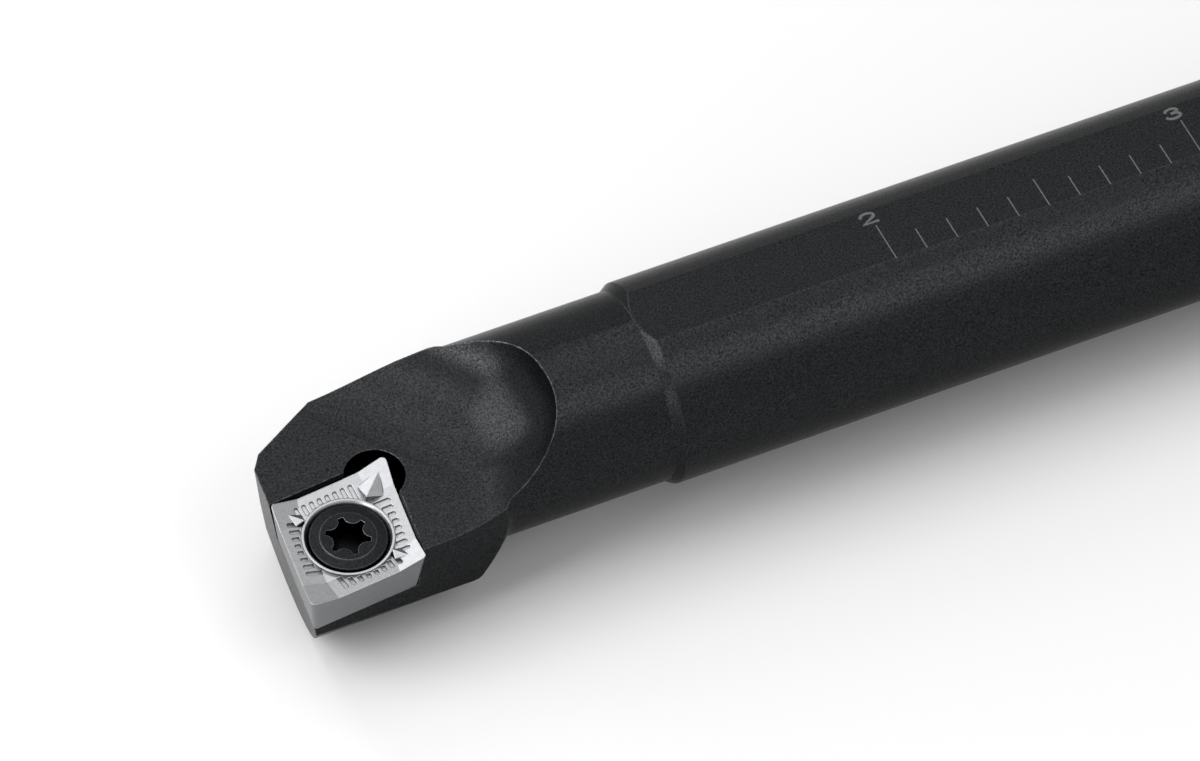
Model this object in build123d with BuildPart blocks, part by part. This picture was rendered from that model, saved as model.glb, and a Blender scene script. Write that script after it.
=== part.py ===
"""Right-hand boring bar with an indexable cutting insert held by one screw.

Millimetres. The bar lies along X: the middle of its rear end face is the origin, the head
is at -X, the cutting nose points to -Y and +Z is square to the two clamping flats.
"""

import os
from math import atan, cos, degrees, radians, sin, sqrt, tan

from build123d import *

os.makedirs("parts", exist_ok=True)

# Bar
overall_length = 203.2
shank_radius = 15.875 / 2
flat_height = 7.5
neck_radius = 7.48
step_station = 31.15
step_length = 0.72
rear_chamfer = 0.8
screw_hole_radius = 1.76

# Head
blank_front = (-0.97, -1.3, 8.4)
blank_rear = (-0.2, -1.36, 8.78)
blank_rear_station = 17.6
shoulder_station = 17.12
shoulder_slope = 40
shoulder_rounding = 0.8
front_lead = 5.35
front_relief = 7.75
front_station = 0.83
side_flat = 8.22
side_station = 9.87
side_lead = 3
side_relief = 3
top_tilt = 5.5
front_corner = [(0.4, 3.3), (1.0, 3.3), (1.8, 4.45), (7.11, 7.4), (7.11, 12), (0.4, 12)]

# Gullet, swept by a ball cutter round the insert's pocket
ball_radius = 8.58
ball_dip = 0.03
gullet_corner = (9.28, 2.41)
gullet_corner_cut = 0.7
gullet_outlets = (248, 130.6)

# Insert: 80 degree rhomb standing 5 degrees off square, 7 degree flanks
inscribed_radius = 9.525 / 2
insert_thickness = 3.97
flank_angle = 7
nose_radius = 0.4
insert_station = 5.2
insert_y = -4.47
nose_y = -9.53
edge_drop = 0.56
corner_run = 2.1
land_rake = 13
land_width = 0.66
slot_count = 8
slot_pitch = 0.65
slot_width = 0.36
rim_radius = 3.48
rim_depth = 0.74
bore_radius = 2.2
sink_radius = 3.2
sink_depth = 0.88
slot_depth = 0.14
bowl_depth = 1.0
ridge_depth = 0.8
corner_ridges = [(2, 6.26, 2.64, 2.17, 0.42), (1, 4.8, 1.3, 1.1, 0.25), (3, 4.8, 1.3, 1.1, 0.25)]

# Pocket
wall_clearance = 0.03
relief_hole_radius = 2.32
relief_hole_at = (3.81, 3.88)
relief_hole_depth = 4.6

# Screw
screw_radius = 1.73
screw_tip_depth = 9.6
face_radius = 2.18
face_step = 0.05
head_face_depth = 0.68
head_radius = 2.95
head_fall = 0.17
head_angle = 30
star_radius = 1.72
star_core = 1.18
star_flute = 0.72
star_angle = 56.7
star_depth = 1.6


def station(distance):
    """X of a point the given distance behind the cutting nose."""
    return distance - overall_length


def polar(length, angle):
    return (length * cos(radians(angle)), length * sin(radians(angle)))


# The plane of the insert's corners, which is also the plane milled on top of the head.
top = Plane(
    origin=(station(insert_station), insert_y, (insert_y - nose_y) * tan(radians(top_tilt))),
    x_dir=(1, 0, 0),
    z_dir=(0, -sin(radians(top_tilt)), cos(radians(top_tilt))),
)
seat = top.offset(-insert_thickness)
seat_radius = inscribed_radius - insert_thickness * tan(radians(flank_angle))


def rhomb_corner(radius, index):
    """Corner of the rhomb round a circle of this radius, counted from the nose."""
    reach = radius / (sin(radians(40)) if index % 2 == 0 else cos(radians(40)))
    return polar(reach, 225 + 90 * index)


# ---------------------------------------------------------------- gullet cutter
def gullet_point(along, outlet):
    """Ball centre at a distance from the corner of its path towards one outlet."""
    step = polar(along, gullet_outlets[outlet])
    u = gullet_corner[0] + step[0]
    v = gullet_corner[1] + step[1]
    return top.from_local_coords(Vector(u, v, ball_radius - ball_dip))


gullet_path = [
    gullet_point(26, 0),
    gullet_point(gullet_corner_cut, 0),
    gullet_point(gullet_corner_cut, 1),
    gullet_point(26, 1),
]

with BuildPart() as gullet_cutter:
    for start, end in zip(gullet_path[:-1], gullet_path[1:]):
        with BuildSketch(Plane(origin=start, z_dir=end - start)):
            Circle(ball_radius)
        extrude(amount=(end - start).length)
    for centre in gullet_path[1:-1]:
        with Locations(centre):
            Sphere(ball_radius)

# ---------------------------------------------------------------- bar
with BuildPart() as bar:
    # Head blank, a round standing off centre that swells towards the neck
    with BuildSketch(Plane.YZ.offset(station(-0.5))):
        with Locations(blank_front[:2]):
            Circle(blank_front[2])
    with BuildSketch(Plane.YZ.offset(station(blank_rear_station))):
        with Locations(blank_rear[:2]):
            Circle(blank_rear[2])
    loft()

    # Turned shoulder down to the neck
    with BuildSketch(Plane.XZ):
        rise = tan(radians(shoulder_slope))
        with BuildLine():
            Polyline(
                (station(shoulder_station - 5), neck_radius + 5 * rise),
                (station(shoulder_station), neck_radius),
                (station(blank_rear_station + 1), neck_radius),
                (station(blank_rear_station + 1), neck_radius + 5 * rise),
                close=True,
            )
        make_face()
        fillet(vertices().sort_by(Axis.Y)[:2].sort_by(Axis.X)[0], shoulder_rounding)
    revolve(axis=Axis.X, mode=Mode.SUBTRACT)
    shoulder_face = faces().filter_by(GeomType.CONE)[0]
    fillet(shoulder_face.edges().sort_by(Axis.X)[0], shoulder_rounding)

    # Neck and shank
    with BuildSketch(Plane.XZ):
        with BuildLine():
            Polyline(
                (station(13), 0),
                (station(13), neck_radius),
                (station(step_station - step_length), neck_radius),
                (station(step_station), shank_radius),
                (-rear_chamfer, shank_radius),
                (0, shank_radius - rear_chamfer),
                (0, 0),
                close=True,
            )
        make_face()
    revolve(axis=Axis.X)

    # Clamping flats
    for side in (Plane.XY, Plane(origin=(0, 0, 0), x_dir=(1, 0, 0), z_dir=(0, 0, -1))):
        with BuildSketch(side.offset(flat_height)):
            with Locations((station(step_station - step_length) / 2, 0)):
                Rectangle(-station(step_station - step_length), 2 * shank_radius)
        extrude(amount=shank_radius, mode=Mode.SUBTRACT)

    # Front face, leaning back under the cutting edge
    front = Plane(
        origin=(station(front_station), 0, 0),
        x_dir=(0, 1, 0),
        z_dir=(-1, tan(radians(front_lead)), -tan(radians(front_relief))),
    )
    with BuildSketch(front):
        Circle(16)
    extrude(amount=6, mode=Mode.SUBTRACT)

    # Front corner taken off the inner side
    with BuildSketch(Plane.XY.offset(-14)):
        with BuildLine():
            Polyline(*[(station(s), y) for s, y in front_corner], close=True)
        make_face()
    extrude(amount=20, mode=Mode.SUBTRACT)

    # Side flat under and behind the insert
    flat_plane = Plane(
        origin=(station(side_station), -side_flat, 0),
        x_dir=(1, tan(radians(side_lead)), 0),
        z_dir=(tan(radians(side_lead)), -1, -tan(radians(side_relief))),
    )
    with BuildSketch(flat_plane):
        with Locations((-4, 0)):
            Rectangle(22, 12)
    extrude(amount=4, mode=Mode.SUBTRACT)

    # Top of the head, level with the insert's corners
    with BuildSketch(top):
        outlet_a = polar(24, gullet_outlets[0])
        outlet_b = polar(24, gullet_outlets[1])
        near_a = polar(gullet_corner_cut, gullet_outlets[0])
        near_b = polar(gullet_corner_cut, gullet_outlets[1])
        u, v = gullet_corner
        with BuildLine():
            Polyline(
                (u + outlet_a[0], v + outlet_a[1]),
                (u + near_a[0], v + near_a[1]),
                (u + near_b[0], v + near_b[1]),
                (u + outlet_b[0], v + outlet_b[1]),
                (-20, v + outlet_b[1]),
                (-20, v + outlet_a[1]),
                close=True,
            )
        make_face()
    extrude(amount=14, mode=Mode.SUBTRACT)

    # Gullet
    add(gullet_cutter.part, mode=Mode.SUBTRACT)

    # Pocket: two walls leaning with the insert's flanks, a flat seat, a relieved corner
    with BuildSketch(seat):
        corner = rhomb_corner(seat_radius + wall_clearance, 2)
        to_front = polar(15, 185)
        to_side = polar(15, 265)
        with BuildLine():
            Polyline(
                corner,
                (corner[0] + to_front[0], corner[1] + to_front[1]),
                (corner[0] + to_front[0] + to_side[0], corner[1] + to_front[1] + to_side[1]),
                (corner[0] + to_side[0], corner[1] + to_side[1]),
                close=True,
            )
        make_face()
    extrude(amount=insert_thickness + 2, taper=-flank_angle, mode=Mode.SUBTRACT)
    with BuildSketch(top):
        with Locations(relief_hole_at):
            Circle(relief_hole_radius)
    extrude(amount=-relief_hole_depth, mode=Mode.SUBTRACT)

    # Threaded hole for the insert's screw, right through the head
    with BuildSketch(seat):
        Circle(screw_hole_radius)
    extrude(amount=-12, mode=Mode.SUBTRACT)
bar.part.label = "bar"
export_step(bar.part, "parts/bar.step")

# ---------------------------------------------------------------- insert
def bowl_wall(angle, reach, drop, slope):
    """Plane of one wall of the bowl: it leans in from a line this far out and this far down."""
    outward = Vector(*polar(cos(radians(slope)), angle), sin(radians(slope)))
    inward = Vector(*polar(-sin(radians(slope)), angle), cos(radians(slope)))
    return Plane(
        origin=top.from_local_coords(Vector(*polar(reach, angle), -drop)),
        x_dir=top.from_local_coords(outward) - top.origin,
        z_dir=top.from_local_coords(inward) - top.origin,
    )


# Four lands that fall in from the edges, and four facets that rise to the corners
lands = []
corner_facets = []
land_reach = inscribed_radius - edge_drop * tan(radians(flank_angle))
for i in range(4):
    land_angle = 175 + 90 * i if i % 2 == 0 else 185 + 90 * i
    lands.append(bowl_wall(land_angle, land_reach, edge_drop, land_rake))
    half_angle = 40 if i % 2 == 0 else 50
    sharp = inscribed_radius / sin(radians(half_angle))
    tip = sharp - nose_radius * (1 / sin(radians(half_angle)) - 1)
    fall = edge_drop / (corner_run * cos(radians(half_angle)))
    corner_facets.append(bowl_wall(225 + 90 * i, tip, 0, degrees(atan(fall))))

# Convex bowl pressed into the insert, between these walls and a flat floor
with BuildPart() as bowl:
    with BuildSketch(top.offset(-bowl_depth)):
        Rectangle(24, 24)
    extrude(amount=bowl_depth + 1)
    for wall in lands + corner_facets:
        split(bisect_by=wall, keep=Keep.TOP)


def ridge_point(index, along, aside, depth):
    """Point on the line from the middle to a corner, moved aside, below the corners."""
    u, v = polar(along, 225 + 90 * index)
    du, dv = polar(aside, 315 + 90 * index)
    return top.from_local_coords(Vector(u + du, v + dv, -depth))


# Three-sided ridges behind the spare corners, each a kite drawn up to a level crest
ridges = []
for index, tip, length, width, height in corner_ridges:
    nose = ridge_point(index, tip, 0, ridge_depth - height)
    tail = ridge_point(index, tip - length, 0, ridge_depth - height)
    widest = tip - 0.67 * length
    kite = [(tip, 0), (widest, width / 2), (tip - length, 0), (widest, -width / 2)]
    with BuildPart() as ridge:
        with BuildSketch(top.offset(-bowl_depth - 0.1)):
            corners = [ridge_point(index, along, aside, 0) for along, aside in kite]
            Polygon(*[top.to_local_coords(corner) for corner in corners], align=None)
        extrude(amount=1)
        for side in (-0.5, 0.5):
            foot = ridge_point(index, widest, side * width, ridge_depth)
            slope = (tail - nose).cross(foot - nose)
            if slope.dot(top.z_dir) < 0:
                slope = -slope
            split(bisect_by=Plane(origin=nose, z_dir=slope), keep=Keep.BOTTOM)
    ridges.append(ridge.part)

with BuildPart() as insert:
    # Body between the rounded rhomb on top and the smaller one on the seat
    for plane, radius, rounding in (
        (top, inscribed_radius, nose_radius),
        (seat, seat_radius, 0.6 * nose_radius),
    ):
        with BuildSketch(plane):
            Polygon(*[rhomb_corner(radius, i) for i in range(4)], align=None)
            fillet(vertices(), rounding)
    loft(ruled=True)
    add(bowl.part, mode=Mode.SUBTRACT)

    # Raised rim round the screw's countersink
    with BuildSketch(top.offset(-rim_depth)):
        Circle(rim_radius)
    extrude(amount=-0.4)

    # Ribs: shallow slots cut square to each edge, from the land to the rim
    for land in lands:
        with BuildSketch(land.offset(-slot_depth)):
            for k in range(slot_count):
                along = (k - (slot_count - 1) / 2) * slot_pitch
                outer = -land_width - slot_width / 2
                inner = sqrt((rim_radius + 0.07) ** 2 - along**2) - land_reach
                with Locations((outer, along)):
                    Circle(slot_width / 2)
                with Locations(((outer + inner) / 2, along)):
                    Rectangle(outer - inner, slot_width)
        extrude(amount=1, mode=Mode.SUBTRACT)

    # Ridges behind the spare corners
    for ridge in ridges:
        add(ridge)

    # Countersunk hole
    sink_bottom = sink_depth + (sink_radius - bore_radius) / tan(radians(head_angle))
    with BuildSketch(Plane(origin=top.origin, x_dir=(1, 0, 0), z_dir=-top.y_dir)):
        with BuildLine():
            Polyline(
                (0, 1),
                (sink_radius + 0.1, 1),
                (sink_radius + 0.1, -rim_depth),
                (sink_radius, -sink_depth),
                (bore_radius, -sink_bottom),
                (bore_radius, -insert_thickness - 1),
                (0, -insert_thickness - 1),
                close=True,
            )
        make_face()
    revolve(axis=Axis(top.origin, top.z_dir), mode=Mode.SUBTRACT)
insert.part.label = "insert"
export_step(insert.part, "parts/insert.step")

# ---------------------------------------------------------------- insert screw
head_edge_depth = sink_depth + (sink_radius - head_radius) / tan(radians(head_angle))
head_bottom = sink_depth + (sink_radius - screw_radius) / tan(radians(head_angle))

with BuildPart() as insert_screw:
    with BuildSketch(Plane(origin=top.origin, x_dir=(1, 0, 0), z_dir=-top.y_dir)):
        with BuildLine():
            Polyline(
                (0, -head_face_depth),
                (face_radius - face_step, -head_face_depth),
                (face_radius, -head_face_depth - face_step),
                (head_radius - 0.06, -head_face_depth - head_fall),
                (head_radius, -head_face_depth - head_fall - 0.06),
                (head_radius, -head_edge_depth),
                (screw_radius, -head_bottom),
                (screw_radius, -screw_tip_depth + 0.4),
                (screw_radius - 0.4, -screw_tip_depth),
                (0, -screw_tip_depth),
                close=True,
            )
        make_face()
    revolve(axis=Axis(top.origin, top.z_dir))

    # Six-lobed driving recess
    with BuildSketch(top.offset(-head_face_depth)):
        Circle(star_radius)
        with PolarLocations(star_core + star_flute, 6, start_angle=star_angle):
            Circle(star_flute, mode=Mode.SUBTRACT)
        fillet(vertices(), 0.08)
    extrude(amount=-star_depth, mode=Mode.SUBTRACT)
insert_screw.part.label = "insert_screw"
export_step(insert_screw.part, "parts/insert_screw.step")
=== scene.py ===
"""A boring bar with an indexable insert: finishes, depth marks, screw thread, stage and camera.

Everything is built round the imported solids, in metres, with the bar's axis along X, its rear
face at the origin and its ruled flat facing +Z.
"""

from math import cos, pi, radians, sin, tan

import bmesh
import bpy
from mathutils import Euler, Matrix, Vector


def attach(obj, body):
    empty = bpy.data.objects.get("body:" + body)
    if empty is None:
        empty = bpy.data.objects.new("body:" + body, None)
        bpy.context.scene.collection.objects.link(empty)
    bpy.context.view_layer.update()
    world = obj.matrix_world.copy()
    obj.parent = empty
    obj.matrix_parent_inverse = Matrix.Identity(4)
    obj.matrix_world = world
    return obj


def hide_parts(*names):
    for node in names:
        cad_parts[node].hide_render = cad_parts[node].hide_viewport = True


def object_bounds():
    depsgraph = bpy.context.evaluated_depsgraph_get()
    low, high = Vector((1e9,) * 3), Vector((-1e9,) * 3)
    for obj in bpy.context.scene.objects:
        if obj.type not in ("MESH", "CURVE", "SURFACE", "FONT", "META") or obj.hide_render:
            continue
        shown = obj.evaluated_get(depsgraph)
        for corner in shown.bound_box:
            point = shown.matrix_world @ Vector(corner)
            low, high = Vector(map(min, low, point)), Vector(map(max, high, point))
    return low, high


bl_info = {
    "name": "Boring bar",
    "version": (1, 0, 0),
    "blender": (4, 5, 0),
    "location": "View3D > Sidebar > Boring bar",
    "description": "Finishes, depth marks, screw thread and stage of a boring bar",
    "category": "Object",
}

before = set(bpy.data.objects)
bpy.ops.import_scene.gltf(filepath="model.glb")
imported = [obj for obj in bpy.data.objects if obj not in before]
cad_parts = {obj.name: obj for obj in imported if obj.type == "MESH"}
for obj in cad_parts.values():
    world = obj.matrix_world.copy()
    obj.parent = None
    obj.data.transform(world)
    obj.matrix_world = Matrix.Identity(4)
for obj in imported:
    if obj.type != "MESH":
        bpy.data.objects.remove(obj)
cad_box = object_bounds()

MM = 0.001
INCH = 25.4 * MM

# The one body, which the pieces made here are attached to.
ROOT = "root"

BAR_LENGTH = 203.2 * MM
FLAT_HEIGHT = 7.5 * MM

# The insert's pocket leans by this much about a line along the bar through the cutting nose.
POCKET_TILT = radians(5.5)
NOSE_ACROSS = -9.53 * MM
INSERT_STATION = 5.2 * MM
INSERT_ACROSS = -4.47 * MM
INSERT_RISE = (INSERT_ACROSS - NOSE_ACROSS) * tan(POCKET_TILT)
INSERT_TOP = Vector((INSERT_STATION - BAR_LENGTH, INSERT_ACROSS, INSERT_RISE))
SCREW_AXIS = Vector((0, -sin(POCKET_TILT), cos(POCKET_TILT)))

# Cosines of the lean at which an edge's wear and painted highlight begin, and are whole.
EDGE_STARTS = 0.995
EDGE_FULL = 0.85

# The thread's profile in shares of its pitch: a flat root, a flank, a flat crest and a flank.
THREAD_ROOT = 1 / 8
THREAD_FLANK = 3 / 8
# Facets round the thread, and rows of them to a pitch.
THREAD_SIDES = 60
THREAD_ROWS = 12

# The screw's head is wider than its shank by more than the overhang. It keeps a stub of the
# plain shank, and the thread reaches a little way into the stub.
HEAD_OVERHANG = 0.2 * MM
SHANK_TOLERANCE = 0.01 * MM
HEAD_STUB = 0.2 * MM
THREAD_OVERLAP = 0.1 * MM
SAME_POINT = 0.0005 * MM
SHARP_EDGE = radians(28)

# A mark is a thin solid sunk into the flat, so that next to nothing of it stands out.
MARK_SUNK = 0.02 * MM
MARK_PROUD = 0.004 * MM
NEXT_LINE_RISE = 0.002 * MM
# A digit stands past the end of its mark, and a little left of it.
DIGIT_SHIFT = 0.25 * MM
DIGIT_GAP = 0.3 * MM
ARC_STEPS = 14
MITRE_LIMIT = 0.6

# The softboxes stand round the head: name, direction from it, side in metres and brightness.
LAMP_AIM = Vector((-0.17, 0, 0))
LAMP_DISTANCE = 0.9
SOFTBOXES = (
    ("nose_softbox", (-0.75, 0.1, 0.62), 0.74, 3.6),
    ("low_softbox", (-0.88, -0.45, 0.1), 0.34, 7.0),
    ("top_softbox", (0.05, 0.22, 0.97), 0.80, 1.15),
    ("near_softbox", (-0.20, 0.0, 0.98), 0.42, 0.7),
    ("back_softbox", (-0.11, 0.80, 0.60), 0.38, 2.4),
    ("front_softbox", (0.29, -0.56, 0.78), 0.45, 1.7),
)

# The camera's place, and its turns about X, Y and Z. The sensor's width is in millimetres.
CAMERA_PLACE = Vector((-416.456, -538.339, 678.451)) * MM
CAMERA_TILT = radians(41.0824)
CAMERA_ROLL = radians(0.2784)
CAMERA_TURN = radians(-24.4286)
SENSOR_WIDTH = 36


def linear(hex_colour):
    """The linear RGBA values of an sRGB hex colour."""
    values = [int(hex_colour[i : i + 2], 16) / 255 for i in (1, 3, 5)]
    return [v / 12.92 if v <= 0.04045 else ((v + 0.055) / 1.055) ** 2.4 for v in values] + [1]


def shade(colour, factor):
    """A colour made lighter or darker."""
    return [min(1, value * factor) for value in colour[:3]] + [1]


def add_node(tree, kind, inputs=(), output=0, **settings):
    """Adds a node with its settings and gives one of its outputs.

    Inputs come in order or by name. One given as a socket is linked, any other is set.
    """
    node = tree.nodes.new(kind)
    for name, value in settings.items():
        setattr(node, name, value)
    named = inputs if isinstance(inputs, dict) else dict(enumerate(inputs))
    for name, value in named.items():
        if isinstance(value, bpy.types.NodeSocket):
            tree.links.new(value, node.inputs[name])
        else:
            node.inputs[name].default_value = value
    return node.outputs[output] if node.outputs else None


def new_material(name):
    """An empty node material, and the tree to build in."""
    material = bpy.data.materials.new(name)
    material.use_nodes = True
    tree = material.node_tree
    tree.nodes.clear()
    return material, tree


def unevenness(tree, size, detail=2, roughness=0.5, stretch=(1, 1, 1)):
    """Random unevenness from 0 to 1 with features of a size in millimetres.

    A stretch below 1 along an axis draws the features out along it.
    """
    place = add_node(tree, "ShaderNodeTexCoord", output="Object")
    scale = [share / MM for share in stretch]
    spread = add_node(tree, "ShaderNodeVectorMath", [place, scale], operation="MULTIPLY")
    pattern = {"Vector": spread, "Scale": 1 / size, "Detail": detail, "Roughness": roughness}
    return add_node(tree, "ShaderNodeTexNoise", pattern)


def mottle(tree, pattern, span, first, second, share=(0, 1)):
    """Two colours mixed: the second's share goes through share as the pattern goes through span."""
    part = add_node(tree, "ShaderNodeMapRange", [pattern, *span, *share])
    return add_node(tree, "ShaderNodeMix", {0: part, 6: first, 7: second}, 2, data_type="RGBA")


def edge_break(tree, radius, samples=6):
    """An edge's normal rounded by radius, and its wear and painted highlight from 0 to 1."""
    rounded = add_node(tree, "ShaderNodeBevel", {"Radius": radius}, samples=samples)
    own = add_node(tree, "ShaderNodeNewGeometry", output="Normal")
    lean = add_node(tree, "ShaderNodeVectorMath", [rounded, own], "Value", operation="DOT_PRODUCT")
    return rounded, add_node(tree, "ShaderNodeMapRange", [lean, EDGE_STARTS, EDGE_FULL, 0, 1])


def shadowed(tree, colour, reach, span, depth):
    """A colour darkened where other surfaces closer than reach hem it in.

    It loses the share depth where the openness is at span's low end, and nothing at its high end.
    """
    near = {"Distance": reach}
    openness = add_node(tree, "ShaderNodeAmbientOcclusion", near, "AO", samples=8)
    return mottle(tree, openness, span, colour, linear("#030303"), (depth, 0))


class BoringBarFinish(bpy.types.PropertyGroup):
    """The black-oxided steel of the bar."""

    oxide: bpy.props.FloatVectorProperty(
        name="Oxide", description="Colour of the black oxide", size=4, min=0, max=1,
        subtype="COLOR", default=linear("#232425"),
    )
    # An edge's colour where the oxide wears thin, also standing in for a painted highlight.
    rubbed_and_sheen: bpy.props.FloatVectorProperty(
        name="Rubbed edge", description="Colour of an edge where the oxide is thin", size=4,
        min=0, max=1, subtype="COLOR", default=linear("#686a6c"),
    )
    roughness: bpy.props.FloatProperty(
        name="Roughness", description="Roughness of the oxide", min=0, max=1, subtype="FACTOR",
        default=0.28,
    )
    grain: bpy.props.FloatProperty(
        name="Grain", description="Size of the oxide's grain", unit="LENGTH", default=0.16 * MM,
    )
    edge: bpy.props.FloatProperty(
        name="Edge break", description="Radius of the deburred edges", unit="LENGTH",
        default=0.16 * MM,
    )


class BoringBarInsertFinish(bpy.types.PropertyGroup):
    """The uncoated cemented carbide of the insert."""

    pressed: bpy.props.FloatVectorProperty(
        name="Pressed top", description="Colour of the bright top", size=4, min=0, max=1,
        subtype="COLOR", default=linear("#9fa0a2"),
    )
    # The ground sides' colour is darker than the top's: partly their finish, partly painted shade.
    ground: bpy.props.FloatVectorProperty(
        name="Ground side", description="Colour of the ground sides", size=4, min=0, max=1,
        subtype="COLOR", default=linear("#7e7f81"),
    )
    top_roughness: bpy.props.FloatProperty(
        name="Top roughness", description="Roughness of the top", min=0, max=1,
        subtype="FACTOR", default=0.3,
    )
    side_roughness: bpy.props.FloatProperty(
        name="Side roughness", description="Roughness of the sides", min=0, max=1,
        subtype="FACTOR", default=0.42,
    )
    edge: bpy.props.FloatProperty(
        name="Honed edge", description="Radius of the bright honed edges", unit="LENGTH",
        default=0.03 * MM,
    )
    soft: bpy.props.FloatProperty(
        name="Pressed edge", description="Radius by which pressing rounds the forms",
        unit="LENGTH", default=0.1 * MM,
    )


class BoringBarScrew(bpy.types.PropertyGroup):
    """The thread of the insert screw."""

    crest: bpy.props.FloatProperty(
        name="Crest radius", description="Radius of the thread's crest", unit="LENGTH",
        default=1.73 * MM,
    )
    root: bpy.props.FloatProperty(
        name="Root radius", description="Radius at the bottom of the thread", unit="LENGTH",
        default=1.38 * MM,
    )
    pitch: bpy.props.FloatProperty(
        name="Pitch", description="Distance from thread to thread", unit="LENGTH",
        default=0.6 * MM,
    )
    runout: bpy.props.FloatProperty(
        name="Run-out", description="Length over which the thread fades at each end",
        unit="LENGTH", default=0.5 * MM,
    )
    steel: bpy.props.FloatVectorProperty(
        name="Screw", description="Colour of the blackened screw", size=4, min=0, max=1,
        subtype="COLOR", default=linear("#1d1e1f"),
    )


class BoringBarRuler(bpy.types.PropertyGroup):
    """The depth marks on the top flat."""

    first_inch: bpy.props.IntProperty(
        name="First inch", description="Whole inch of the first mark", default=2, min=1,
    )
    last_inch: bpy.props.IntProperty(
        name="Last inch", description="Whole inch of the last mark", default=5, min=2, max=5,
    )
    border: bpy.props.FloatProperty(
        name="Border", description="Place across the flat where the marks start",
        unit="LENGTH", default=-2.6 * MM,
    )
    line: bpy.props.FloatProperty(
        name="Line width", description="Width of a mark", unit="LENGTH", default=0.1 * MM,
    )
    tenth: bpy.props.FloatProperty(
        name="Tenth", description="Length of a tenth's mark", unit="LENGTH", default=2.0 * MM,
    )
    half: bpy.props.FloatProperty(
        name="Half", description="Length of a half inch's mark", unit="LENGTH",
        default=2.84 * MM,
    )
    whole: bpy.props.FloatProperty(
        name="Inch", description="Length of a whole inch's mark", unit="LENGTH",
        default=3.55 * MM,
    )
    digit_width: bpy.props.FloatProperty(
        name="Digit width", description="Width of a digit", unit="LENGTH", default=1.15 * MM,
    )
    digit_height: bpy.props.FloatProperty(
        name="Digit height", description="Height of a digit", unit="LENGTH", default=1.0 * MM,
    )
    digit_line: bpy.props.FloatProperty(
        name="Digit line", description="Width of a digit's line", unit="LENGTH",
        default=0.25 * MM,
    )
    mark: bpy.props.FloatVectorProperty(
        name="Mark", description="Colour of a mark burnt into the oxide", size=4, min=0, max=1,
        subtype="COLOR", default=linear("#5a5c5d"),
    )


class BoringBarStage(bpy.types.PropertyGroup):
    """Floor, lamps and camera."""

    floor: bpy.props.FloatVectorProperty(
        name="Floor", description="Colour of the floor", size=4, min=0, max=1,
        subtype="COLOR", default=linear("#ececec"),
    )
    floor_size: bpy.props.FloatProperty(
        name="Floor size", description="Side of the floor", unit="LENGTH", default=3.0,
    )
    ambient: bpy.props.FloatProperty(
        name="Ambient", description="Strength of the surrounding light", min=0, default=0.35,
    )
    focal_length: bpy.props.FloatProperty(
        name="Focal length", description="Focal length of the camera in millimetres",
        default=361.14,
    )


def bar_material(finish):
    """Alloy steel, turned and milled, then black-oxided.

    The oxide is a thin dark skin: satin, evenly grained, white only where it is seen at a
    grazing angle, and thin from wear in specks along the edges, with a painted highlight there too.
    """
    material, tree = new_material("black_oxide_steel")
    grain = unevenness(tree, finish.grain / MM, detail=3, roughness=0.75)
    # The salts stain the steel in clouds a few millimetres across.
    clouds = unevenness(tree, 2.5, detail=3, roughness=0.55)
    # Turning leaves rings 0.15 mm apart round the axis.
    rings = unevenness(tree, 0.15, detail=1, stretch=(1, 0.02, 0.02))
    # Handling rubs the edges in specks 0.3 mm apart, more in some places than in others.
    specks = unevenness(tree, 0.3, roughness=0.6)
    spots = unevenness(tree, 6.0, detail=1)
    normal, edge_polish_and_sheen = edge_break(tree, finish.edge)

    dark = shade(finish.oxide, 0.25)
    light = shade(finish.oxide, 1.9)
    speckled = mottle(tree, grain, (0.32, 0.68), dark, light)
    clouded = mottle(tree, clouds, (0.35, 0.65), speckled, list(finish.oxide), (0, 0.3))
    # Between their spots and specks the edges keep some of the rubbing and painted highlight.
    for pattern, span, least in ((spots, (0.42, 0.58), 0.3), (specks, (0.4, 0.6), 0.15)):
        share = add_node(tree, "ShaderNodeMapRange", [pattern, *span, least, 1])
        edge_polish_and_sheen = add_node(tree, "ShaderNodeMath", [share, edge_polish_and_sheen], operation="MULTIPLY")
    # Edges are painted lighter: bare steel where the oxide wears off, and a painted highlight.
    colour = mottle(tree, edge_polish_and_sheen, (0, 1), clouded, list(finish.rubbed_and_sheen))

    # The grain's peaks are smoother than its hollows, and stand above the turned rings.
    hollow = finish.roughness + 0.07
    peak = finish.roughness - 0.07
    roughness = add_node(tree, "ShaderNodeMapRange", [grain, 0.3, 0.7, hollow, peak])
    height = add_node(tree, "ShaderNodeMath", [rings, 0.3, grain], operation="MULTIPLY_ADD")
    relief = {"Strength": 0.5, "Distance": 0.02 * MM, "Height": height, "Normal": normal}
    shader = add_node(
        tree,
        "ShaderNodeBsdfPrincipled",
        {
            "Base Color": shadowed(tree, colour, 1.8 * MM, (0.55, 0.9), 0.95),
            "Metallic": 1,
            "Specular Tint": linear("#d7d7d7"),
            "Roughness": roughness,
            "Normal": add_node(tree, "ShaderNodeBump", relief),
        },
    )
    add_node(tree, "ShaderNodeOutputMaterial", {"Surface": shader})
    return material


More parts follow.
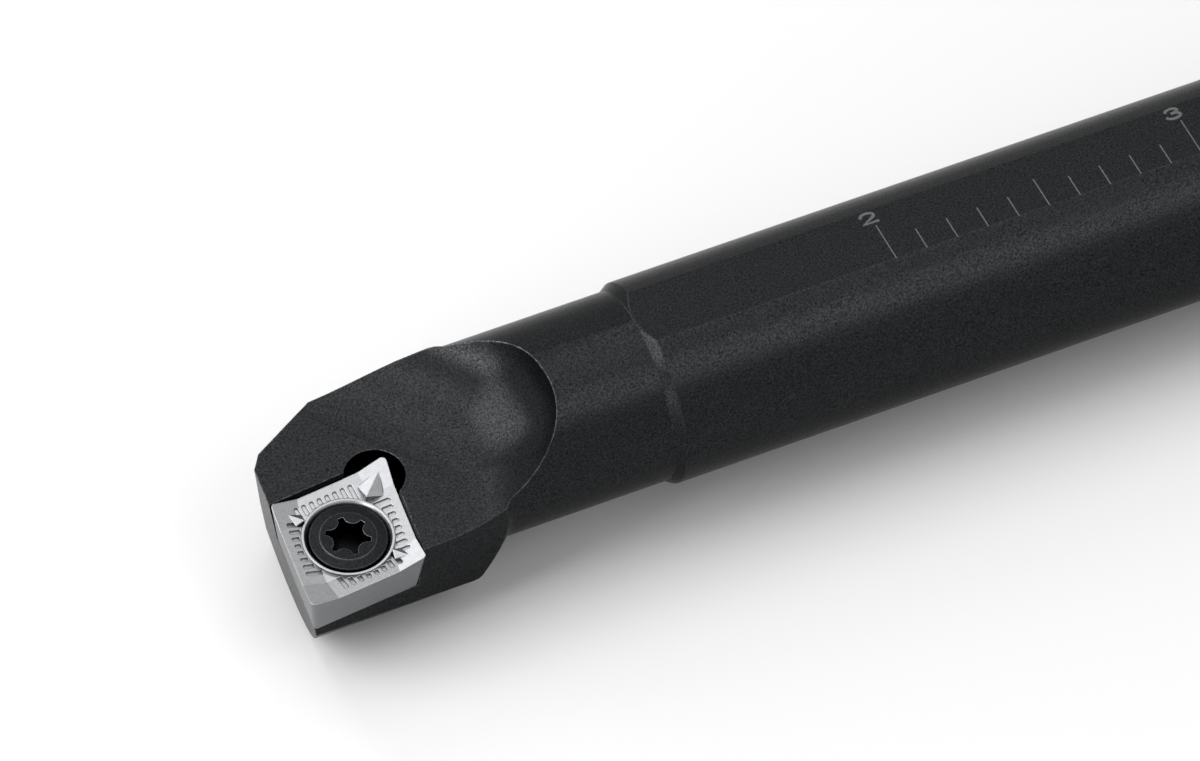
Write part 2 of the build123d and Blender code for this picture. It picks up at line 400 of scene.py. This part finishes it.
def insert_material(finish):
    """Cemented carbide, pressed and sintered, with ground sides.

    The pressed top is bright and a little uneven. The ground sides are satin, with fine lines
    along the grinding wheel's path.
    """
    material, tree = new_material("ground_carbide")
    # Sintered grit of 0.08 mm, coarser than the real one so that it shows.
    grit = unevenness(tree, 0.08, detail=3, roughness=0.7)
    # Pressing leaves faint patches 0.4 mm across.
    patches = unevenness(tree, 0.4, detail=3, roughness=0.6)
    # Grinding lines 0.06 mm apart, coarser than the real ones so that they show.
    lines = unevenness(tree, 0.06, detail=1, stretch=(0.1, 0.1, 1))
    edge_polish_and_sheen = edge_break(tree, finish.edge, samples=4)[1]
    normal = edge_break(tree, finish.soft, samples=8)[0]

    # The pressed top faces along the screw, the ground sides across it.
    own = add_node(tree, "ShaderNodeNewGeometry", output="Normal")
    facing = add_node(
        tree, "ShaderNodeVectorMath", [own, SCREW_AXIS], "Value", operation="DOT_PRODUCT"
    )
    top = add_node(tree, "ShaderNodeMapRange", [facing, 0.35, 0.55, 0, 1])

    # The ground sides are darker than the top: partly their own finish, partly painted shade.
    ground, pressed = finish.ground, finish.pressed
    side = mottle(tree, lines, (0.3, 0.7), shade(ground, 0.9), shade(ground, 1.1))
    face = mottle(tree, patches, (0.3, 0.7), shade(pressed, 0.93), shade(pressed, 1.07))
    clean = mottle(tree, top, (0, 1), side, face)
    gritty = mottle(tree, grit, (0.35, 0.65), clean, shade(ground, 0.4), (0.22, 0))
    # Honed edges are painted brighter: partly their polish, partly a painted highlight.
    colour = mottle(tree, edge_polish_and_sheen, (0, 1), gritty, shade(pressed, 1.7), (0, 0.5))

    # The grit makes both surfaces a little rougher and smoother from place to place.
    side_to_top = (finish.side_roughness, finish.top_roughness)
    surface = add_node(tree, "ShaderNodeMapRange", [top, 0, 1, *side_to_top])
    uneven = add_node(tree, "ShaderNodeMapRange", [grit, 0.3, 0.7, -0.05, 0.05])
    roughness = add_node(tree, "ShaderNodeMath", [uneven, surface], operation="ADD")
    relief = {"Strength": 0.3, "Distance": 0.01 * MM, "Height": grit, "Normal": normal}
    shader = add_node(
        tree,
        "ShaderNodeBsdfPrincipled",
        {
            "Base Color": shadowed(tree, colour, 0.15 * MM, (0.45, 0.85), 0.75),
            "Metallic": 1,
            "Roughness": roughness,
            "Normal": add_node(tree, "ShaderNodeBump", relief),
        },
    )
    add_node(tree, "ShaderNodeOutputMaterial", {"Surface": shader})
    return material


def screw_material(steel):
    """Cold-headed blackened alloy steel, smoother than the bar; bright rims: wear and painted
    highlight.
    """
    material, tree = new_material("blackened_screw_steel")
    # Grain of 0.13 mm, coarser than the real one so that it shows.
    grain = unevenness(tree, 0.13, detail=3, roughness=0.7)
    normal, edge_polish_and_sheen = edge_break(tree, 0.05 * MM)
    speckled = mottle(tree, grain, (0.32, 0.68), shade(steel, 0.5), shade(steel, 1.6))
    # Rims are painted bright: bare steel from wear, and a painted highlight.
    colour = mottle(tree, edge_polish_and_sheen, (0, 1), speckled, linear("#9a9c9e"), (0, 0.9))
    relief = {"Strength": 0.4, "Distance": 0.015 * MM, "Height": grain, "Normal": normal}
    shader = add_node(
        tree,
        "ShaderNodeBsdfPrincipled",
        {
            "Base Color": shadowed(tree, colour, 1.8 * MM, (0.4, 0.8), 1),
            "Metallic": 1,
            "Roughness": add_node(tree, "ShaderNodeMapRange", [grain, 0.3, 0.7, 0.42, 0.34]),
            "Normal": add_node(tree, "ShaderNodeBump", relief),
        },
    )
    add_node(tree, "ShaderNodeOutputMaterial", {"Surface": shader})
    return material


def mark_material(colour):
    """A laser mark: the oxide burnt off to a matt grey, a little uneven along its length."""
    material, tree = new_material("laser_marked_steel")
    # The beam's spots run together in beads of 0.12 mm.
    beads = unevenness(tree, 0.12, detail=3, roughness=0.7)
    shader = add_node(
        tree,
        "ShaderNodeBsdfPrincipled",
        {
            "Base Color": mottle(tree, beads, (0.3, 0.7), shade(colour, 0.6), shade(colour, 1.25)),
            "Metallic": 0.4,
            "Roughness": add_node(tree, "ShaderNodeMapRange", [beads, 0.3, 0.7, 0.6, 0.75]),
        },
    )
    add_node(tree, "ShaderNodeOutputMaterial", {"Surface": shader})
    return material


def new_piece(name, mesh, material):
    """Links a mesh as a piece of the bar with its finish."""
    piece = bpy.data.objects.new(name, mesh)
    bpy.context.scene.collection.objects.link(piece)
    mesh.materials.clear()
    mesh.materials.append(material)
    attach(piece, ROOT)
    return piece


class BORINGBAR_OT_bar(bpy.types.Operator):
    """Finishes the bar in black oxide"""

    bl_idname = "boringbar.bar"
    bl_label = "Bar"

    def execute(self, context):
        material = bar_material(context.scene.boringbar_finish)
        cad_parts["bar"].material_slots[0].material = material
        return {"FINISHED"}


class BORINGBAR_OT_insert(bpy.types.Operator):
    """Finishes the insert in ground carbide"""

    bl_idname = "boringbar.insert"
    bl_label = "Insert"

    def execute(self, context):
        material = insert_material(context.scene.boringbar_insert)
        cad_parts["insert"].material_slots[0].material = material
        return {"FINISHED"}


def screw_frame():
    """The screw's own frame: its origin on the insert's top, its Z out along the screw."""
    across = Vector((1, 0, 0))
    turn = Matrix((across, SCREW_AXIS.cross(across), SCREW_AXIS)).transposed().to_4x4()
    return Matrix.Translation(INSERT_TOP) @ turn


def cut_shank(mesh, seat, crest):
    """Cuts the plain shank off the screw's head, and gives the heights of its tip and the cut."""
    back = seat.inverted()
    points = [back @ vertex.co for vertex in mesh.verts]
    # The shank's cylinder ends below the head's cone.
    cone = min(p.z for p in points if p.xy.length > crest + HEAD_OVERHANG)
    below = [p for p in points if p.z < cone]
    shank = max(p.z for p in below if abs(p.xy.length - crest) < SHANK_TOLERANCE)
    cut = shank - HEAD_STUB
    bmesh.ops.bisect_plane(
        mesh,
        geom=mesh.verts[:] + mesh.edges[:] + mesh.faces[:],
        dist=1e-7,
        plane_co=seat @ Vector((0, 0, cut)),
        plane_no=SCREW_AXIS,
        clear_inner=True,
    )
    bmesh.ops.contextual_create(mesh, geom=[e for e in mesh.edges if e.is_boundary])
    return min(p.z for p in points), cut


def thread_shape(turns):
    """How far out the thread stands at a number of turns: 0 at its root, 1 at its crest."""
    part = turns % 1
    if part < THREAD_ROOT:
        return 0.0
    if part < THREAD_ROOT + THREAD_FLANK:
        return (part - THREAD_ROOT) / THREAD_FLANK
    if part < 1 - THREAD_FLANK:
        return 1.0
    return (1 - part) / THREAD_FLANK


def thread_mesh(mesh, seat, bottom, top, screw):
    """Adds a threaded shank between two heights on the screw's axis to a bmesh."""
    rows = max(2, round((top - bottom) / (screw.pitch / THREAD_ROWS)))
    rings = []
    for row in range(rows + 1):
        height = bottom + (top - bottom) * row / rows
        fade = min(1, (height - bottom) / screw.runout, (top - height) / screw.runout)
        ring = []
        for side in range(THREAD_SIDES):
            angle = 2 * pi * side / THREAD_SIDES
            turns = height / screw.pitch - side / THREAD_SIDES
            depth = thread_shape(turns) * max(0, fade)
            radius = screw.root + (screw.crest - screw.root) * depth
            point = Vector((radius * cos(angle), radius * sin(angle), height))
            ring.append(mesh.verts.new(seat @ point))
        rings.append(ring)
    for lower, upper in zip(rings, rings[1:]):
        for side in range(THREAD_SIDES):
            following = (side + 1) % THREAD_SIDES
            mesh.faces.new((lower[side], lower[following], upper[following], upper[side]))
    mesh.faces.new(list(reversed(rings[0])))
    mesh.faces.new(rings[-1])


class BORINGBAR_OT_screw(bpy.types.Operator):
    """Cuts the thread of the insert screw and blackens it"""

    bl_idname = "boringbar.screw"
    bl_label = "Insert screw"

    def execute(self, context):
        screw = context.scene.boringbar_screw
        seat = screw_frame()
        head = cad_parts["insert_screw"].data.copy()
        head.name = "threaded_insert_screw"
        mesh = bmesh.new()
        mesh.from_mesh(head)
        bmesh.ops.remove_doubles(mesh, verts=mesh.verts, dist=SAME_POINT)
        tip, cut = cut_shank(mesh, seat, screw.crest)
        thread_mesh(mesh, seat, tip, cut + THREAD_OVERLAP, screw)
        for edge in mesh.edges:
            edge.smooth = edge.calc_face_angle(0) < SHARP_EDGE
        for face in mesh.faces:
            face.smooth = True
        mesh.to_mesh(head)
        mesh.free()
        # The solid's own normals no longer fit the cut mesh.
        head.attributes.remove(head.attributes["custom_normal"])
        piece = new_piece("threaded_insert_screw", head, screw_material(screw.steel))
        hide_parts("insert_screw")
        return {"FINISHED"}


def arc(centre, radius, start, end):
    """Points along an arc, with its angles in degrees and its radius across and up."""
    angles = [radians(start + (end - start) * i / ARC_STEPS) for i in range(ARC_STEPS + 1)]
    return [(centre[0] + radius[0] * cos(a), centre[1] + radius[1] * sin(a)) for a in angles]


def digit_lines(digit):
    """The pen lines of a digit, on a square one unit wide and one high."""
    if digit == 2:
        return [arc((0.5, 0.7), (0.46, 0.3), 170, -35) + [(0.04, 0.0), (1.0, 0.0)]]
    if digit == 3:
        upper = arc((0.48, 0.77), (0.42, 0.23), 165, -90)
        lower = arc((0.48, 0.27), (0.48, 0.27), 90, -165)
        return [upper, lower]
    if digit == 4:
        return [[(1.0, 0.28), (0.0, 0.28), (0.72, 1.0), (0.72, 0.0)]]
    if digit == 5:
        flag = [(0.92, 1.0), (0.14, 1.0), (0.08, 0.5)]
        return [flag + arc((0.46, 0.32), (0.5, 0.32), 130, -155)]
    raise ValueError(f"no lines for the digit {digit}")


def add_line(mesh, points, width, low, high):
    """Adds a pen line as a flat strip with mitred turns, from height low to height high."""
    half = width / 2
    rows = []
    for index, point in enumerate(points):
        before = (point - points[index - 1]).normalized() if index else None
        after = (points[index + 1] - point).normalized() if index + 1 < len(points) else None
        along = ((before or after) + (after or before)).normalized()
        across = Vector((-along.y, along.x))
        reach = half / max(MITRE_LIMIT, along.dot(before or after))
        # The strip's ends reach half a width further, as the pen's spot does.
        if before is None:
            point = point - along * half
        elif after is None:
            point = point + along * half
        left = point + across * reach
        right = point - across * reach
        corners = ((left, low), (right, low), (right, high), (left, high))
        rows.append([mesh.verts.new((p.x, p.y, z)) for p, z in corners])
    for first, second in zip(rows, rows[1:]):
        for i in range(4):
            j = (i + 1) % 4
            mesh.faces.new((first[i], second[i], second[j], first[j]))
    mesh.faces.new(rows[0])
    mesh.faces.new(list(reversed(rows[-1])))


def mark_length(tenth, ruler):
    """Length of the mark at a number of tenths: longest at the inches, longer at the halves."""
    if tenth % 10 == 0:
        return ruler.whole
    if tenth % 5 == 0:
        return ruler.half
    return ruler.tenth


def add_digit(mesh, digit, mark_x, mark_end, ruler, low, high):
    """Adds the digit of an inch by its mark."""
    left = mark_x - DIGIT_SHIFT - ruler.digit_width / 2
    foot = mark_end + DIGIT_GAP + ruler.digit_line / 2
    size = Vector((ruler.digit_width, ruler.digit_height))
    for index, line in enumerate(digit_lines(digit)):
        points = [Vector((left, foot)) + Vector(p) * size for p in line]
        # Lines that meet don't share a top face.
        rise = index * NEXT_LINE_RISE
        add_line(mesh, points, ruler.digit_line, low + rise, high + rise)


class BORINGBAR_OT_ruler(bpy.types.Operator):
    """Marks the depths from the nose on the top flat"""

    bl_idname = "boringbar.ruler"
    bl_label = "Depth marks"

    def execute(self, context):
        ruler = context.scene.boringbar_ruler
        low = FLAT_HEIGHT - MARK_SUNK
        high = FLAT_HEIGHT + MARK_PROUD
        mesh = bmesh.new()
        for tenth in range(ruler.first_inch * 10, ruler.last_inch * 10 + 1):
            x = tenth * INCH / 10 - BAR_LENGTH
            end = ruler.border + mark_length(tenth, ruler)
            points = [Vector((x, ruler.border + ruler.line / 2)), Vector((x, end))]
            add_line(mesh, points, ruler.line, low, high)
            if tenth % 10 == 0:
                add_digit(mesh, tenth // 10, x, end, ruler, low, high)
        bmesh.ops.recalc_face_normals(mesh, faces=mesh.faces)
        marks = bpy.data.meshes.new("depth_marks")
        mesh.to_mesh(marks)
        mesh.free()
        new_piece("depth_marks", marks, mark_material(ruler.mark))
        return {"FINISHED"}


def add_floor(colour, size):
    """Lays matt paper under the bar."""
    material, tree = new_material("pale_paper")
    paper = {"Base Color": list(colour), "Roughness": 0.9}
    shader = add_node(tree, "ShaderNodeBsdfPrincipled", paper)
    add_node(tree, "ShaderNodeOutputMaterial", {"Surface": shader})
    grid = bmesh.new()
    bmesh.ops.create_grid(grid, x_segments=4, y_segments=4, size=size / 2)
    mesh = bpy.data.meshes.new("floor")
    grid.to_mesh(mesh)
    grid.free()
    mesh.materials.append(material)
    floor = bpy.data.objects.new("floor", mesh)
    floor.location = (-BAR_LENGTH / 2, 0, cad_box[0].z)
    bpy.context.scene.collection.objects.link(floor)


def add_surroundings(ambient):
    """White surroundings, seen and mirrored at full strength, that light the bar by ambient."""
    world = bpy.data.worlds.new("studio")
    world.use_nodes = True
    tree = world.node_tree
    tree.nodes.clear()
    rays = add_node(tree, "ShaderNodeLightPath").node.outputs
    seen = rays["Is Camera Ray"]
    for ray in ("Is Glossy Ray", "Is Transmission Ray"):
        seen = add_node(tree, "ShaderNodeMath", [seen, rays[ray]], operation="MAXIMUM")
    strength = add_node(tree, "ShaderNodeMapRange", [seen, 0, 1, ambient, 1])
    white = {"Color": linear("#ffffff"), "Strength": strength}
    sky = add_node(tree, "ShaderNodeBackground", white)
    add_node(tree, "ShaderNodeOutputWorld", {"Surface": sky})
    bpy.context.scene.world = world


def add_softbox(name, towards, side, brightness):
    """Adds a square lamp that stands in a direction from the head and faces it."""
    light = bpy.data.lights.new(name, "AREA")
    light.shape = "SQUARE"
    light.size = side
    # At this power its face is as bright as brightness times white.
    light.energy = brightness * pi * side * side
    lamp = bpy.data.objects.new(name, light)
    bpy.context.scene.collection.objects.link(lamp)
    direction = Vector(towards).normalized()
    lamp.location = LAMP_AIM + direction * LAMP_DISTANCE
    lamp.rotation_euler = direction.to_track_quat("Z", "Y").to_euler()


def add_camera(focal_length):
    """Adds the camera, with a long lens, above the head on the nose's side."""
    camera = bpy.data.cameras.new("camera")
    camera.sensor_fit = "HORIZONTAL"
    camera.sensor_width = SENSOR_WIDTH
    camera.lens = focal_length
    camera.clip_start = 0.01
    camera.clip_end = 20
    viewer = bpy.data.objects.new("camera", camera)
    turn = Euler((CAMERA_TILT, CAMERA_ROLL, CAMERA_TURN))
    viewer.matrix_world = Matrix.LocRotScale(CAMERA_PLACE, turn, None)
    bpy.context.scene.collection.objects.link(viewer)
    bpy.context.scene.camera = viewer


class BORINGBAR_OT_stage(bpy.types.Operator):
    """Sets up the floor, lamps, surroundings and camera"""

    bl_idname = "boringbar.stage"
    bl_label = "Stage"

    def execute(self, context):
        stage = context.scene.boringbar_stage
        context.scene.view_settings.view_transform = "Standard"
        add_floor(stage.floor, stage.floor_size)
        add_surroundings(stage.ambient)
        for name, towards, side, brightness in SOFTBOXES:
            add_softbox(name, towards, side, brightness)
        add_camera(stage.focal_length)
        return {"FINISHED"}


class BORINGBAR_PT_panel(bpy.types.Panel):
    """The boring bar's pieces and settings"""

    bl_idname = "BORINGBAR_PT_panel"
    bl_label = "Boring bar"
    bl_space_type = "VIEW_3D"
    bl_region_type = "UI"
    bl_category = "Boring bar"

    def draw(self, context):
        layout = self.layout
        for operator, settings in STEPS:
            layout.operator(operator.bl_idname)
            group = getattr(context.scene, settings)
            for name in group.__annotations__:
                layout.prop(group, name)


GROUPS = {
    "boringbar_finish": BoringBarFinish,
    "boringbar_insert": BoringBarInsertFinish,
    "boringbar_screw": BoringBarScrew,
    "boringbar_ruler": BoringBarRuler,
    "boringbar_stage": BoringBarStage,
}
STEPS = (
    (BORINGBAR_OT_bar, "boringbar_finish"),
    (BORINGBAR_OT_insert, "boringbar_insert"),
    (BORINGBAR_OT_screw, "boringbar_screw"),
    (BORINGBAR_OT_ruler, "boringbar_ruler"),
    (BORINGBAR_OT_stage, "boringbar_stage"),
)


def register():
    for name, group in GROUPS.items():
        bpy.utils.register_class(group)
        setattr(bpy.types.Scene, name, bpy.props.PointerProperty(type=group))
    for operator, _ in STEPS:
        bpy.utils.register_class(operator)
    bpy.utils.register_class(BORINGBAR_PT_panel)


def unregister():
    bpy.utils.unregister_class(BORINGBAR_PT_panel)
    for operator, _ in reversed(STEPS):
        bpy.utils.unregister_class(operator)
    for name, group in GROUPS.items():
        delattr(bpy.types.Scene, name)
        bpy.utils.unregister_class(group)


def main():
    register()
    bpy.ops.boringbar.bar()
    bpy.ops.boringbar.insert()
    bpy.ops.boringbar.screw()
    bpy.ops.boringbar.ruler()
    bpy.ops.boringbar.stage()


if __name__ == "__main__":
    main()
